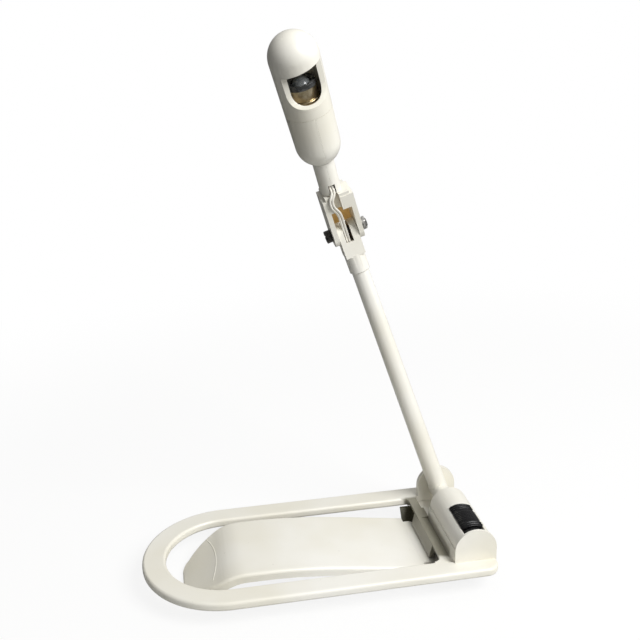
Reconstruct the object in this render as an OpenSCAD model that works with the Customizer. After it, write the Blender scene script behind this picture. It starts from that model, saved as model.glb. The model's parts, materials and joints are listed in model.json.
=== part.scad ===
// Clip-on book light: a flat loop base with a sprung clip leaf, a folding arm on a barrel hinge,
// a clevis knuckle with one screw, and a capsule head whose turning hood has a window for the lens bulb.
// Millimetres, +Z up. X runs from the loop end to the hinge, Y runs along the hinge axis.
// The origin lies on the surface the light stands on, straight below the middle of the hinge axis.

/* [Loop base] */
// distance from the hinge axis to the end of the loop
loop_reach = 119.2; // [100:0.1:140]
// width of the loop over both rails
loop_w = 62.4; // [56:0.1:70]
// thickness of the loop
loop_t = 3.4; // [3:0.1:4.5]
// width of one rail
rail_w = 8.6; // [7:0.1:10]
// rounding of the rail edges
edge_r = 1.1; // [0.5:0.1:1.5]
// height of the loop's underside above the standing surface
lift = 7.4; // [7.2:0.1:9]
// rounding of the two corners at the hinge end
corner_r = 5; // [3:0.5:7]
// distance from the hinge axis to the end wall of the slot
slot_end = 12.2; // [12.2:0.1:13.4]
// rounding of the slot's two corners beside the hinge
slot_corner_r = 2.4; // [1:0.1:3]

/* [Hinge] */
// height of the hinge axis above the loop's underside
axis_rise = 8.1; // [7.9:0.1:8.6]
// radius of the D shaped ears, and the reach of the base past the axis
ear_r = 7.8; // [7.6:0.1:8.4]
// thickness of the far ear
ear_t = 2; // [1.6:0.1:2.4]
// thickness of the near ear, which closes the barrel
near_ear_t = 0.9; // [0.8:0.1:1.2]
// distance from the loop's side to the outer face of an ear
ear_inset = 6; // [5.2:0.1:6.6]
// outer radius of the switch barrel
barrel_r = 7.2; // [6.9:0.1:7.4]
// wall of the switch barrel
barrel_wall = 1.4; // [1.2:0.1:1.6]
// length of the gap between the barrel and the far ear
hub_space = 15.7; // [15.2:0.1:16.2]
// how far the barrel's lower half stands out below the parting line
skirt = 0.8; // [0.6:0.1:1.2]
// radius of the hollow bush the arm turns on
bush_r = 2.6; // [2.4:0.1:2.8]
// bore of the hollow bush
bush_bore = 1.75; // [1.6:0.05:1.9]
// radius of the pin in the far ear
pin_r = 2; // [1.6:0.1:2.2]
// running clearance of a pivot, on the radius
pivot_gap = 0.06; // [0.03:0.01:0.1]

/* [Clip leaf] */
// gap between the leaf and a rail
slot_gap = 4.6; // [4.2:0.1:7.6]
// thickness of the leaf
leaf_t = 2; // [1.6:0.1:2.2]
// depth of the rim turned down along the leaf's edge
rim_deep = 3.4; // [2.4:0.1:4]
// width of that rim
rim_w = 1.5; // [1:0.1:2]
// height of the crest above the loop's underside
crest_rise = 4.8; // [3.6:0.1:5.4]
// distance from the hinge axis to the crest
crest_x = 77.2; // [74:0.1:80]
// radius of the long arch
arch_r = 190; // [160:5:220]
// slope of the ramp from the root
ramp_angle = 11.3; // [10:0.1:12]
// length of the flat on the crest
crest_flat = 5; // [3:0.5:7]
// radius of the bend above the nose
nose_r = 18; // [14:0.5:22]
// slope of the nose
nose_angle = 31; // [26:0.5:33]
// length of the straight nose
nose_len = 15; // [10:0.5:15.5]
// distance from the floor's side of the lower housing to the leaf's neck
neck_inset = 3.1; // [2.9:0.1:6]
// distance from the hinge axis to the leaf's pin
leaf_pin_x = 9.5; // [9.2:0.1:9.8]
// radius of the leaf's pin
leaf_pin_r = 0.8; // [0.6:0.05:0.9]

/* [Lower housing] */
// distance from the loop's side to the lower housing
tray_inset = 8.8; // [8.7:0.1:9.4]
// draft of the lower housing's sides, from top to floor
tray_draft = 4.9; // [3.9:0.1:5.4]
// wall of the lower housing
tray_wall = 1.3; // [1:0.1:1.5]
// floor of the lower housing
tray_floor = 1; // [0.8:0.1:1.2]
// distance from the hinge axis to the front of the lower housing
tray_front = 15.6; // [15.4:0.1:17]
// bore of the power inlet
jack_bore = 1.75; // [1.25:0.05:1.9]
// depth of the power inlet
jack_depth = 8; // [6:0.5:8.5]

/* [Switch] */
// angle the switch spans on the barrel
switch_span = 69; // [60:1:74]
// length of the switch recess, from the near ear
switch_len = 18.9; // [18.7:0.1:19.3]
// length of the sliding button
slider_len = 15.7; // [14:0.1:15.8]
// travel of the sliding button
slider_travel = 2.8; // [2:0.1:3]
// radius of the raised ribs on the button
rib_r = 0.35; // [0.25:0.05:0.4]

/* [Arm] */
// lean of the arm from upright
arm_lean = 18.6; // [0:0.1:40]
// distance of the arm from the far ear
arm_inset = 4; // [3.9:0.1:4.4]
// radius of the arm at its foot
arm_r_foot = 3.65; // [3.5:0.05:3.7]
// radius of the arm below the collar
arm_r_top = 3.2; // [3.1:0.05:3.4]
// bore of the arm
arm_bore = 1.9; // [1.8:0.05:2]
// distance from the hinge axis to the knuckle screw
arm_len = 116.2; // [90:0.1:130]

/* [Knuckle] */
// radius of the collar on the arm
collar_r = 3.75; // [3.7:0.05:4]
// half the depth of the lower prongs, and the radius of their round ends
prong_r = 3.6; // [3.4:0.1:3.7]
// radius of the round ends of the upper cheeks
cheek_r = 4.5; // [4.2:0.1:4.8]
// thickness of an upper cheek
cheek_t = 1.8; // [1.5:0.1:2]
// width of the slot between the lower prongs
wire_slot = 2.9; // [2.6:0.1:3]
// radius of the knuckle screw
screw_r = 1.5; // [1.2:0.1:1.6]
// distance from the screw to the underside of the upper bridge
bridge_from = 11.4; // [10:0.1:12]
// distance from the screw to the top of the upper block
block_top = 17.8; // [17:0.1:18.5]

/* [Head] */
// tilt of the head towards the reader
head_tilt = 19; // [0:0.5:40]
// sideways set of the neck from the arm's line
neck_set = -0.75; // [-1:0.05:0]
// sideways lean of the head above the knuckle
head_lean = 1.4; // [0:0.1:2]
// radius of the neck
neck_r = 3.75; // [3.6:0.05:3.9]
// distance from the knuckle screw to the centre of the lower round end
low_centre = 37.2; // [36:0.1:38.5]
// radius of the lower round end
low_r = 7.7; // [7.4:0.1:7.8]
// distance from the knuckle screw to the centre of the dome
dome_centre = 68.2; // [66:0.1:70]
// radius of the dome
dome_r = 8.3; // [8:0.1:8.6]
// distance from the knuckle screw to the ring seam below the hood
ring_seam = 49.5; // [49:0.1:50.5]
// inner radius of the hood
hood_bore = 6.8; // [6.3:0.05:6.85]
// distance from the head's axis to the flat sides of the window
window_depth = 4.5; // [4:0.1:5]
// radius of the scoop at the bottom of the window
scoop_r = 6; // [5:0.1:6.5]
// lowest point of the scoop, measured from the knuckle screw
window_low = 53; // [53:0.1:54]
// straight top edge of the window, measured from the knuckle screw
window_high = 65.8; // [64:0.1:66.2]
// slant of that edge across the window
visor_tilt = 8; // [0:0.5:10]
// turn of the hood about the head
hood_turn = 4; // [0:1:20]

/* [Bulb] */
// outer radius of the bulb's screw base
bulb_base_r = 4.5; // [4.4:0.05:4.6]
// pitch of the rolled thread
thread_pitch = 1.8; // [1.5:0.1:2]
// distance from the knuckle screw to the bulb's collar ring
bulb_ring_at = 58.4; // [57.5:0.1:58.8]
// radius of the glass and its lens
glass_r = 3.2; // [2.8:0.1:3.3]
// wall of the glass
glass_wall = 0.7; // [0.5:0.05:0.9]

/* [Wires] */
// radius of one insulated wire
wire_r = 0.45; // [0.35:0.05:0.5]
// distance between the two wires
wire_pitch = 0.95; // [0.9:0.01:1]

/* [Hidden] */
$fn = 64;
ivory = [0.93, 0.91, 0.85];
black = [0.07, 0.07, 0.07];
steel = [0.72, 0.72, 0.70];
brass = [0.78, 0.62, 0.30];
white = [0.95, 0.95, 0.93];
grey = [0.25, 0.25, 0.26];
clear = [0.85, 0.88, 0.90, 0.4];

// how far a cut runs past a face, and the size of a block that cuts everything on one side
over = 1;
far_cut = 100;
// clearances of a fixed fit, of a seat, of a covered seam and of a moving face
fixed_gap = 0.02;
seat_gap = 0.05;
line_gap = 0.1;
pocket_gap = 0.3;
// faces across a rounded edge, across a bend and around a wire
round_steps = 4;
bend_steps = 6;
wire_sides = 10;

axis_z = lift + axis_rise;
half_w = loop_w / 2;
ring_x = loop_reach - half_w;
deck_top = lift + loop_t;
ear_out = half_w - ear_inset;
ear_in = ear_out - ear_t;
near_in = ear_out - near_ear_t;
barrel_in = barrel_r - barrel_wall;
barrel_end = ear_in - hub_space;
skirt_out = barrel_r + skirt;
end_wall = 1.5;

arm_y = ear_in - arm_inset;
wire_bend = 4.5;
washer_t = 0.8;
hub_near = barrel_end + washer_t;
hub_far = ear_in - pocket_gap;
hub_flange_r = 5.6;
hub_flange_t = 1.6;
hub_seat = 2.4;
hub_spigot_r = 2.6;
hub_spigot_top = 13;
bush_end = arm_y - wire_bend;
pin_reach = 1.8;
pin_start = ear_in - pin_reach;
rivet_r = 3.6;
rivet_t = 0.9;

tray_half_top = half_w - tray_inset;
tray_half_floor = tray_half_top - tray_draft;
tray_back = ear_r - 0.6;
leaf_half = half_w - rail_w - slot_gap;
neck_half = tray_half_floor - neck_inset;
leaf_drop = 3.6;
rim_foot = 0.4;
leaf_root_x = tray_front + 0.7;
leaf_root_z = lift - leaf_drop;
eye_r = 1.55;
eye_z = leaf_root_z - leaf_t / 2;
lug_t = 1.6;
lug_y = neck_half + 0.4;
leaf_pin_half = lug_y + lug_t;
apron_half = neck_half - 2.6;
apron_drop = 1.1;
apron_lean = 1.7;
opening_deep = 4;
opening_skin = 1.1;
pocket_front = 8.8;
pocket_len = 9;

screw_x = -4.6;
screw_y = tray_half_floor - 3.3;
tray_screw_r = 0.9;
tray_head_r = 2;
tray_head_from = 0.2;
tray_head_to = 1.4;
boss_drop = 4;
pilot_top = lift + 0.4;
jack_z = 3.8;
jack_collar_r = 2.7;
jack_proud = 0.2;
wire_hole_r = 0.9;

switch_far = near_in - switch_len;
slider_floor = 6.9;
slider_skin = 7.55;
liner_out = 6.85;
stem_from = switch_far + 4;
stem_len = 3;
switch_body_near = 6 - ear_in;
switch_body_len = 9.6;
switch_body_low = -1.6;
switch_body_high = 3.8;
switch_play = 1;
tab = [0.5, 1.4, 2.6];
tab_step = 3;
tab_near = switch_body_near + 1.2;
terminal_y = [tab_near + 2 * tab_step, tab_near + tab_step, tab_near];
jack_y = (terminal_y[0] + terminal_y[1]) / 2;

collar_foot = 16.4;
collar_top = 9.6;
tube_end = 11.8;
collar_seat_r = 3.1;
arm_fit = 0.03;
prong_left = -3.6;
prong_right = 3.8;
slot_left = -1.6;
slot_back = 2.6;
slot_floor = -3.8;
cheek_gap = 0.1;
cheek_left = prong_left - cheek_gap;
cheek_right = prong_right + cheek_gap;
block_half = 4.2;
web_t = 0.7;
web_from = 1.4;
screw_head_r = 2.3;
screw_head_t = 2.2;
nut_flats_r = 2.5;
nut_t = 2;

seam_gap = 0.1;
shell_bore = 6.2;
spigot_r = hood_bore - 0.08;
spigot_bore = 5.3;
spigot_top = 53;
neck_bore = 2.6;
neck_joint = 18;
neck_foot = block_top + 0.12;
neck_plug_len = 6.2;
mouth_len = 4.1;
seam_r = low_r + (ring_seam - low_centre) * (dome_r - low_r) / (dome_centre - low_centre);

sleeve_r = 5.15;
sleeve_bore = bulb_base_r + 0.12;
holder_from = 40.5;
contact_at = holder_from + 2;
contact_r = 2.9;
sleeve_from = 46;
sleeve_to = 54.4;
bulb_base_from = 47.4;
tip_len = 1;
ring_r = 4.95;
ring_t = 1.7;
glass_from = bulb_ring_at + ring_t;
glass_foot = bulb_base_from + 2;
lens_centre = glass_from - 2;
lens_flat = 0.4;

wire_set = -0.6;
wire_front = 2.2;
wire_foot = 5.7;
wire_turn = -2;
wire_tail = 0.5;
lead_top = block_top + 8.2;

// frame of the arm: Z along the arm, X along the knuckle screw
module along_arm() {
    translate([0, arm_y, axis_z])
        rotate([0, -arm_lean, 0])
            children();
}

// frame of the knuckle, before the head's tilt
module at_knuckle() {
    along_arm()
        translate([0, 0, arm_len])
            children();
}

// frame of the upper knuckle: Z towards the head, -Y towards the reader
module along_neck() {
    at_knuckle()
        rotate([head_tilt, 0, 0])
            children();
}

// frame of the head: Z along the capsule, measured from the knuckle screw
module along_head() {
    along_neck()
        lean_head()
            children();
}

// step from the upper knuckle's frame to the head's: a sideways set and a small lean
module lean_head() {
    translate([neck_set, 0, neck_joint])
        rotate([0, head_lean, 0])
            translate([0, 0, -neck_joint])
                children();
}

// a round bar along the hinge axis, from one Y to another
module hinge_bar(from, to, r1, r2) {
    translate([0, from, axis_z])
        rotate([-90, 0, 0])
            cylinder(h = to - from, r1 = r1, r2 = r2);
}

// a round bar along X, which is the knuckle screw's line inside the knuckle frame
module cross_bar(from, to, r) {
    translate([from, 0, 0])
        rotate([0, 90, 0])
            cylinder(h = to - from, r = r);
}

// a round bar along Z between two heights
module upright(from, to, r1, r2) {
    translate([0, 0, from])
        cylinder(h = to - from, r1 = r1, r2 = r2);
}

// extrudes a flat outline drawn in Y and Z along X
module run_x(from, to) {
    translate([from, 0, 0])
        rotate([90, 0, 90])
            linear_extrude(to - from)
                children();
}

// points of a quarter round about a corner's centre
function quarter(centre, r, from) =
    [for (i = [0 : round_steps])
        let (angle = from + i * 90 / round_steps)
            centre + r * [cos(angle), sin(angle)]];

// a rail's section: a bar with all four edges rounded
module rail_section() {
    x = rail_w / 2 - edge_r;
    top = loop_t - edge_r;
    polygon(concat(quarter([x, top], edge_r, 0), quarter([-x, top], edge_r, 90),
        quarter([-x, edge_r], edge_r, 180), quarter([x, edge_r], edge_r, 270)));
}

// a plate's section that is rounded on its outer edge only
module rim_section() {
    x = corner_r - edge_r;
    top = loop_t - edge_r;
    polygon(concat([[0, loop_t], [0, 0]], quarter([x, edge_r], edge_r, 270), quarter([x, top], edge_r, 0)));
}

// the two rails and the round end of the loop
module loop_rails() {
    translate([-ring_x, 0, lift])
        rotate([0, 0, 90])
            rotate_extrude(angle = 180, $fn = 128)
                translate([half_w - rail_w / 2, 0])
                    rail_section();
    for (side = [-1, 1])
        translate([0, side * (half_w - rail_w / 2), lift])
            run_x(-ring_x, -slot_end)
                rail_section();
}

// the plate under the hinge, with its rounded rim
module hinge_deck() {
    straight_to = ear_r - corner_r;
    side_y = half_w - corner_r;
    translate([-slot_end, -side_y, lift])
        cube([straight_to + slot_end, 2 * side_y, loop_t]);
    for (side = [0, 1])
        mirror([0, side, 0]) {
            translate([0, side_y, lift])
                run_x(-slot_end, straight_to)
                    rim_section();
            translate([straight_to, side_y, lift])
                rotate_extrude(angle = 90)
                    rim_section();
        }
    translate([straight_to, side_y, lift])
        rotate([90, 0, 0])
            linear_extrude(2 * side_y)
                rim_section();
}

// a D shaped ear that stands on the deck
module ear(from, thick) {
    translate([0, from + thick, axis_z])
        rotate([90, 0, 0])
            rotate_extrude(angle = 180)
                square([ear_r, thick]);
    translate([-ear_r, from, lift + edge_r])
        cube([2 * ear_r, thick, axis_rise - edge_r]);
}

// extrudes a flat outline drawn in X and Z along the barrel
module along_barrel(from) {
    translate([0, barrel_end, 0])
        rotate([90, 0, 0])
            linear_extrude(barrel_end - from)
                children();
}

// lower half of the switch barrel, open above the hinge axis, with the skirt that faces the slot
module barrel_trough() {
    skirt_top = axis_z - 0.4;
    skirt_run = 2.8;
    ledge = 0.3;
    intersection() {
        hinge_bar(-near_in, barrel_end, barrel_r, barrel_r);
        translate([-far_cut / 2, -far_cut / 2, axis_z - far_cut])
            cube(far_cut);
    }
    along_barrel(-near_in)
        polygon([[-barrel_in, skirt_top], [-barrel_r - ledge, skirt_top], [-skirt_out, skirt_top - skirt_run],
            [-skirt_out, lift + edge_r], [-barrel_in, lift + edge_r]]);
}

// V groove in the deck, between the barrel's skirt and the slot
module deck_groove() {
    groove_deep = 0.8;
    rim = 0.8;
    along_barrel(-near_in)
        polygon([[-skirt_out, deck_top - groove_deep], [rim - slot_end, deck_top],
            [rim - slot_end, deck_top + over], [-skirt_out, deck_top + over]]);
}

// rounds one of the slot's corners beside the hinge
module slot_corner() {
    lap = 1.2;
    translate([-slot_end, half_w - rail_w, deck_top - opening_skin])
        linear_extrude(opening_skin)
            difference() {
                translate([-slot_corner_r, -slot_corner_r])
                    square(slot_corner_r + lap);
                translate([-slot_corner_r, -slot_corner_r])
                    circle(slot_corner_r);
            }
}

// the two walls that carry the switch inside the barrel
module switch_rests() {
    rest_x = 2;
    rest_t = 1;
    inset = 0.55;
    foot = axis_z - barrel_in - barrel_wall / 2;
    for (x = [-rest_x - rest_t, rest_x])
        translate([x, switch_body_near + inset, foot])
            cube([rest_t, switch_body_len - 2 * inset, axis_z + switch_body_low - foot]);
}

// slanted apron over the leaf's neck, at the end of the slot
module apron() {
    foot_z = lift - apron_drop;
    sink = 0.2;
    rotate([90, 0, 0])
        linear_extrude(2 * apron_half, center = true)
            polygon([[-slot_end, deck_top], [-slot_end - apron_lean, foot_z],
                [-slot_end - apron_lean + tray_wall, foot_z], [-slot_end + tray_wall, lift + sink],
                [-slot_end + tray_wall, deck_top]]);
}

// opening beside the apron that shows the dark inside of the lower housing
module corner_opening() {
    translate([-slot_end - over, apron_half, lift - over])
        cube([opening_deep + over, half_w - rail_w - apron_half, loop_t - opening_skin + over]);
}

// hole in the barrel's end wall for the hollow bush
module bush_hole() {
    hole_r = bush_r + fixed_gap;
    hinge_bar(barrel_end - end_wall - over, barrel_end + over, hole_r, hole_r);
}

// recess in the deck around the hub
module hub_pocket() {
    pocket_r = barrel_r + 0.15;
    hinge_bar(barrel_end, ear_in, pocket_r, pocket_r);
    translate([-pocket_front, ear_in - pocket_len, axis_z - barrel_r])
        cube([pocket_front, pocket_len, barrel_r]);
}

// loop, hinge deck, ears and the lower half of the barrel, in one moulding
module base_frame() {
    boss_r = tray_head_r + 0.5;
    pilot_r = tray_screw_r + seat_gap;
    color(ivory) {
        difference() {
            union() {
                loop_rails();
                difference() {
                    hinge_deck();
                    deck_groove();
                }
                ear(-ear_out, near_ear_t);
                ear(ear_in, ear_t);
                barrel_trough();
                apron();
                for (side = [-1, 1])
                    translate([screw_x, side * screw_y, 0])
                        upright(lift - boss_drop, lift + over, boss_r, boss_r);
            }
            hinge_bar(-near_in, barrel_end - end_wall, barrel_in, barrel_in);
            hub_pocket();
            corner_opening();
            mirror([0, 1, 0])
                corner_opening();
            bush_hole();
            hinge_bar(ear_in - over, ear_out + over, pin_r + fixed_gap, pin_r + fixed_gap);
            for (side = [-1, 1])
                translate([screw_x, side * screw_y, 0])
                    upright(lift - boss_drop - over, pilot_top, pilot_r, pilot_r);
            for (y = [terminal_y[0], terminal_y[1]])
                translate([0, y, 0])
                    upright(lift - over, axis_z, wire_hole_r, wire_hole_r);
        }
        switch_rests();
        slot_corner();
        mirror([0, 1, 0])
            slot_corner();
    }
}

// outline of the lower housing across the base, with drafted sides
module tray_section(inset, floor_at) {
    slope = (tray_half_top - tray_half_floor) / lift;
    low = tray_half_floor + slope * floor_at - inset;
    high = tray_half_top - inset;
    polygon([[-low, floor_at], [low, floor_at], [high, lift], [-high, lift]]);
}

// drafted tray under the hinge deck: it carries the leaf's pin and the power inlet
module lower_housing() {
    front = -tray_front;
    back = tray_back;
    post_r = tray_head_r + 0.8;
    post_top = lift - boss_drop - line_gap;
    shank_r = tray_screw_r + 0.2;
    color(black)
        difference() {
            union() {
                difference() {
                    run_x(front, back)
                        tray_section(0, 0);
                    run_x(front + tray_wall, back - tray_wall)
                        tray_section(tray_wall, tray_floor);
                }
                for (side = [-1, 1]) {
                    translate([screw_x, side * screw_y, 0])
                        upright(0, post_top, post_r, post_r);
                    translate([-leaf_pin_x - eye_r, side * (lug_y + lug_t / 2) - lug_t / 2, 0])
                        cube([2 * eye_r, lug_t, eye_z + eye_r]);
                }
            }
            run_x(front - over, front + tray_wall + over)
                tray_section(tray_wall, tray_floor);
            translate([-leaf_pin_x, 0, eye_z])
                rotate([90, 0, 0])
                    cylinder(h = 2 * leaf_pin_half, r = leaf_pin_r + fixed_gap, center = true);
            translate([0, jack_y, jack_z])
                cross_bar(back - tray_wall - over, back + over, jack_collar_r + line_gap);
            for (side = [-1, 1])
                translate([screw_x, side * screw_y, 0]) {
                    upright(-over, lift, shank_r, shank_r);
                    upright(-over, tray_head_to, tray_head_r + line_gap, tray_head_r + line_gap);
                }
        }
}

// countersunk-flat screw that holds the lower housing
module housing_screw(side) {
    slot_w = 0.5;
    slot_to = 0.6;
    color(steel)
        translate([screw_x, side * screw_y, 0])
            difference() {
                union() {
                    upright(tray_head_from, tray_head_to, tray_head_r, tray_head_r);
                    upright(tray_head_to - line_gap, pilot_top - line_gap, tray_screw_r, tray_screw_r);
                }
                translate([-tray_head_r, -slot_w / 2, 0])
                    cube([2 * tray_head_r, slot_w, slot_to]);
            }
}

module housing_screw_near() {
    housing_screw(-1);
}

module housing_screw_far() {
    housing_screw(1);
}

// a sector of a body of revolution about the hinge axis, centred on the top of the barrel
module barrel_sector(span) {
    translate([0, 0, axis_z])
        rotate([90, 0, 0])
            rotate([0, 0, 90 - span / 2])
                rotate_extrude(angle = span)
                    children();
}

// upper half of the barrel, with the opening for the switch
module housing_cover() {
    part_line = 0.12;
    cover_r = barrel_r + 0.1;
    color(ivory)
        difference() {
            hinge_bar(-near_in + seat_gap, barrel_end, cover_r, cover_r);
            hinge_bar(-near_in - over, barrel_end - end_wall, barrel_in, barrel_in);
            bush_hole();
            translate([-far_cut / 2, -far_cut / 2, axis_z - far_cut + part_line])
                cube(far_cut);
            barrel_sector(switch_span + switch_play)
                translate([barrel_in - over, switch_far - line_gap])
                    square([barrel_r, switch_len + over]);
        }
}

// hollow bush the hub turns on; the wires pass through it
module axle_bush() {
    flange_r = 4;
    flange_t = 0.8;
    flange_at = barrel_end - end_wall - flange_t;
    color(brass)
        difference() {
            union() {
                hinge_bar(flange_at, barrel_end - end_wall, flange_r, flange_r);
                hinge_bar(flange_at, bush_end, bush_r, bush_r);
            }
            hinge_bar(flange_at - over, bush_end + over, bush_bore, bush_bore);
        }
}

// headed pin in the far ear
module axle_pin() {
    color(steel) {
        hinge_bar(pin_start, ear_out + rivet_t / 2, pin_r, pin_r);
        hinge_bar(ear_out, ear_out + rivet_t, rivet_r, rivet_r - rivet_t / 2);
    }
}

// washer that gives the arm its friction
module friction_washer() {
    washer_r = 5.2;
    color(black)
        difference() {
            hinge_bar(barrel_end + fixed_gap, hub_near - seat_gap, washer_r, washer_r);
            hinge_bar(barrel_end - over, hub_near + over, bush_r + pivot_gap, bush_r + pivot_gap);
        }
}

// black track the button slides on
module switch_liner() {
    slot_half = 1.1;
    room = 0.4;
    slot_from = stem_from - room;
    slot_len = stem_len + slider_travel + 2 * room;
    color(black)
        difference() {
            barrel_sector(switch_span)
                translate([barrel_in + line_gap, switch_far])
                    square([liner_out - barrel_in - line_gap, switch_len - line_gap]);
            translate([-slot_half, -slot_from - slot_len, axis_z])
                cube([2 * slot_half, slot_len, barrel_r]);
        }
}

// body of the slide switch inside the barrel
module switch_body() {
    half = 3.2;
    color(black)
        translate([-half, switch_body_near, axis_z + switch_body_low])
            cube([2 * half, switch_body_len, switch_body_high - switch_body_low]);
}

// three tabs under the switch
module switch_terminals() {
    color(brass)
        for (y = terminal_y)
            translate([-tab[0] / 2, y - tab[1] / 2, axis_z + switch_body_low - tab[2]])
                cube(tab);
}

// ribbed button, shown pushed to the far end of its travel
module switch_slider() {
    far_ribs = [1.1, 2.3, 3.5];
    near_ribs = [13.2, 14.5];
    pad_from = 5;
    pad_to = 12;
    pad_rise = 0.25;
    stem_half = 0.9;
    stem_foot = switch_body_high + pocket_gap;
    color(black) {
        barrel_sector(switch_span - switch_play) {
            translate([slider_floor, switch_far + seat_gap])
                square([slider_skin - slider_floor, slider_len]);
            for (at = concat(far_ribs, near_ribs))
                translate([slider_skin, switch_far + at])
                    circle(rib_r, $fn = 24);
            translate([slider_floor, switch_far + pad_from])
                square([slider_skin + pad_rise - slider_floor, pad_to - pad_from]);
        }
        translate([-stem_half, -stem_from - stem_len, axis_z + stem_foot])
            cube([2 * stem_half, stem_len, slider_floor - stem_foot + rib_r / 2]);
    }
}

// round power inlet in the back wall of the lower housing
module power_jack() {
    body_from = -1.8;
    body_to = tray_back - tray_wall - line_gap;
    mouth = tray_back + jack_proud;
    half = 3.5;
    lap = 0.5;
    color(black)
        difference() {
            union() {
                translate([body_from, jack_y - half, tray_floor + seat_gap])
                    cube([body_to - body_from, 2 * half, 2 * (jack_z - tray_floor - seat_gap)]);
                translate([0, jack_y, jack_z])
                    cross_bar(body_to - lap, mouth, jack_collar_r);
            }
            translate([0, jack_y, jack_z])
                cross_bar(mouth - jack_depth, mouth + over, jack_bore);
        }
}

// two wires from the inlet up to the switch
module jack_lead() {
    jack_top = 2 * jack_z - tray_floor - seat_gap;
    color(white)
        for (y = [terminal_y[0], terminal_y[1]])
            translate([0, y, 0])
                upright(jack_top, axis_z + switch_body_low - tab[2], wire_r, wire_r);
}

// two wires from the switch through the hollow bush
module base_lead() {
    from = switch_body_near + switch_body_len;
    to = bush_end - wire_tail;
    color(white)
        translate([0, 0, axis_z])
            rotate([0, -arm_lean, 0])
                for (side = [-0.5, 0.5])
                    translate([wire_set + side * wire_pitch, from, 0])
                        rotate([-90, 0, 0])
                            cylinder(h = to - from, r = wire_r);
}

// one surface of the leaf at a depth below its top, in X and Z, from the tip to the root
function leaf_line(depth) =
    let (crest_z = lift + crest_rise,
        nose_c = [-crest_x - crest_flat, crest_z - nose_r],
        arch_c = [-crest_x, crest_z - arch_r],
        along = [-cos(nose_angle), -sin(nose_angle)],
        nose = [for (i = [bend_steps : -1 : 0])
            let (angle = i * nose_angle / bend_steps)
                nose_c + (nose_r - depth) * [-sin(angle), cos(angle)]],
        arch = [for (i = [0 : bend_steps])
            let (angle = i * ramp_angle / bend_steps)
                arch_c + (arch_r - depth) * [sin(angle), cos(angle)]],
        foot = arch[bend_steps],
        root_z = leaf_root_z - depth,
        run = (foot[1] - root_z) / tan(ramp_angle))
    concat([nose[0] + nose_len * along], nose, arch, [[foot[0] + run, root_z], [-leaf_pin_x, root_z]]);

// side view of the clip leaf down to a depth: root, ramp, long arch, crest, bend and nose
module leaf_profile(depth) {
    top = leaf_line(0);
    under = leaf_line(depth);
    rotate([90, 0, 0])
        linear_extrude(2 * leaf_half, center = true) {
            polygon(concat(top, [for (i = [len(under) - 1 : -1 : 0]) under[i]]));
            translate((top[0] + leaf_line(leaf_t)[0]) / 2)
                circle(leaf_t / 2 - fixed_gap);
        }
}

// the leaf's plate seen from above: a round nose, straight sides and square shoulders
module leaf_plate(inset) {
    nose_x = -crest_x - crest_flat - nose_r * sin(nose_angle) - nose_len * cos(nose_angle);
    round_x = nose_x + leaf_half - leaf_t / 2;
    half = leaf_half - inset;
    translate([round_x, 0])
        circle(half);
    translate([round_x, -half])
        square([-leaf_root_x - round_x, 2 * half]);
}

// the whole leaf seen from above, with the neck that runs to its pin
module leaf_plan() {
    leaf_plate(0);
    translate([-leaf_root_x - over, -neck_half])
        square([leaf_root_x + over, 2 * neck_half]);
}

// the rim seen from above
module rim_plan() {
    difference() {
        leaf_plate(0);
        leaf_plate(rim_w);
    }
}

// arched clip leaf that presses a page up against the loop
module clip_leaf() {
    color(ivory)
        difference() {
            union() {
                intersection() {
                    leaf_profile(leaf_t);
                    linear_extrude(far_cut)
                        leaf_plan();
                }
                intersection() {
                    leaf_profile(rim_deep);
                    translate([0, 0, rim_foot])
                        linear_extrude(far_cut)
                            rim_plan();
                }
                translate([-leaf_pin_x, 0, eye_z])
                    rotate([90, 0, 0])
                        cylinder(h = 2 * neck_half, r = eye_r, center = true);
            }
            translate([-leaf_pin_x, 0, eye_z])
                rotate([90, 0, 0])
                    cylinder(h = 3 * neck_half, r = leaf_pin_r + pivot_gap, center = true);
        }
}

// pin the leaf swings on
module leaf_pin() {
    color(steel)
        translate([-leaf_pin_x, 0, eye_z])
            rotate([90, 0, 0])
                cylinder(h = 2 * leaf_pin_half, r = leaf_pin_r, center = true);
}

// hub between the barrel and the far ear: a flange, a cross bar and the stub the arm fits on
module arm_hub() {
    pin_room = 0.4;
    color(ivory)
        difference() {
            union() {
                hinge_bar(hub_near, hub_near + hub_flange_t, hub_flange_r, hub_flange_r);
                hinge_bar(hub_near, hub_far, arm_r_foot, arm_r_foot);
                along_arm() {
                    cylinder(h = hub_seat, r = arm_r_foot);
                    cylinder(h = hub_spigot_top, r = hub_spigot_r);
                }
            }
            along_arm()
                difference() {
                    upright(hub_seat, hub_spigot_top + over, arm_r_foot + arm_fit, arm_r_foot + arm_fit);
                    cylinder(h = hub_spigot_top, r = hub_spigot_r);
                }
            hinge_bar(hub_near - over, bush_end + pocket_gap, bush_r + pivot_gap, bush_r + pivot_gap);
            hinge_bar(hub_near - over, arm_y + over, bush_bore + seat_gap, bush_bore + seat_gap);
            hinge_bar(pin_start - pin_room, hub_far + over, pin_r + pivot_gap, pin_r + pivot_gap);
            along_arm()
                cylinder(h = hub_spigot_top + over, r = arm_bore);
        }
}

// slightly tapered arm, reduced at the top where the collar covers it
module arm_tube() {
    spigot_room = 0.2;
    lap = 0.5;
    collar_at = arm_len - collar_foot;
    color(ivory)
        along_arm()
            difference() {
                union() {
                    upright(hub_seat + fixed_gap, collar_at - fixed_gap, arm_r_foot, arm_r_top);
                    upright(collar_at - lap, arm_len - tube_end, collar_seat_r, collar_seat_r);
                }
                upright(0, arm_len, arm_bore, arm_bore);
                upright(0, hub_spigot_top + spigot_room, hub_spigot_r + arm_fit, hub_spigot_r + arm_fit);
            }
}

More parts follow.
